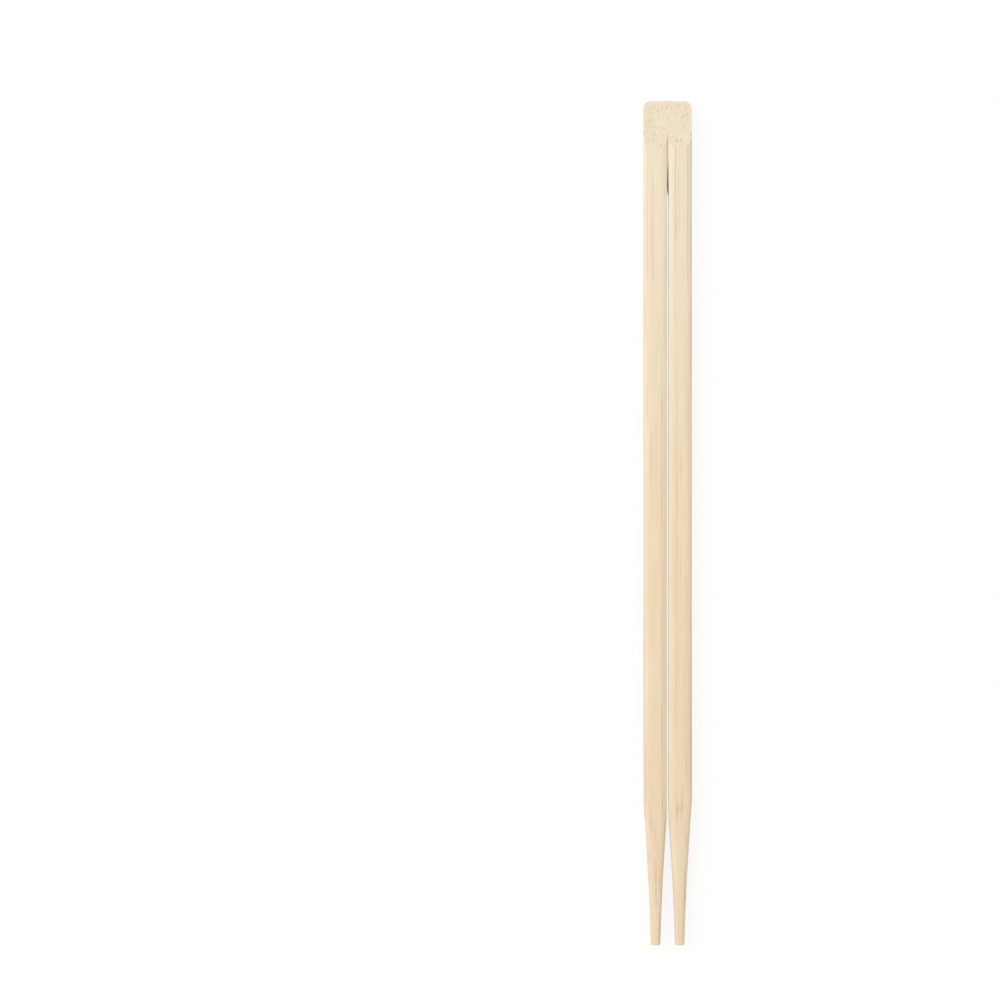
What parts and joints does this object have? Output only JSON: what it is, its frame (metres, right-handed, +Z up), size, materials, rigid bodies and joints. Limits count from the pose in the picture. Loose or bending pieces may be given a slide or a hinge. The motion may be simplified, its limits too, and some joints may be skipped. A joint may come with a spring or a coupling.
{
  "type": "joined pair of bamboo chopsticks",
  "caption": "Disposable bamboo chopsticks joined side by side at a slant-cut head, parted by a saw slit and tapered to round tips.",
  "frame": {"origin": "on the surface under the middle of the pair, halfway along its length and between the two sticks", "axes": "+Y along the length towards the slanted head, +Z up out of the surface through the thickness, +X across the pair"},
  "size_m": [0.0136, 0.24, 0.005],
  "materials": {
    "bamboo": "bare pale bamboo, sanded, with fine fibres along its length"
  },
  "bodies": {
    "root": {"chopstick_pair": "bamboo"}
  },
  "joints": []
}
